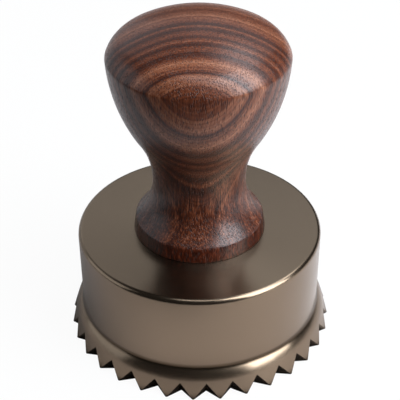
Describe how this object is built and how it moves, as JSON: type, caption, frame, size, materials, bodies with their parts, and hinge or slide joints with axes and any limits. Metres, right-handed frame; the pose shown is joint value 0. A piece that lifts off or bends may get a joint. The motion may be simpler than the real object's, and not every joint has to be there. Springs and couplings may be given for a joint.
{
  "type": "ravioli stamp",
  "caption": "Round stamp that cuts and seals filled pasta: a waisted wooden knob handle on a hollow metal drum whose flared bottom flange ends in a zigzag cutting edge",
  "frame": {"origin": "centre of the cutting edge's circle, on the plane of the tooth tips, which is the surface that the stamp stands on", "axes": "+Z is the turned axis and points up through the handle; a tooth points along -Y, the side that faces the viewer; +X is to the viewer's right"},
  "size_m": [0.058, 0.058, 0.0729],
  "materials": {
    "head_metal": "fine satin, anodised in a warm bronze grey",
    "handle_wood": "turned dark walnut, oiled, with open pores and curved growth rings",
    "screw_metal": "zinc plated steel"
  },
  "bodies": {
    "root": {"stamp_head": "head_metal", "handle": "handle_wood", "fixing_screw": "screw_metal"}
  },
  "joints": []
}
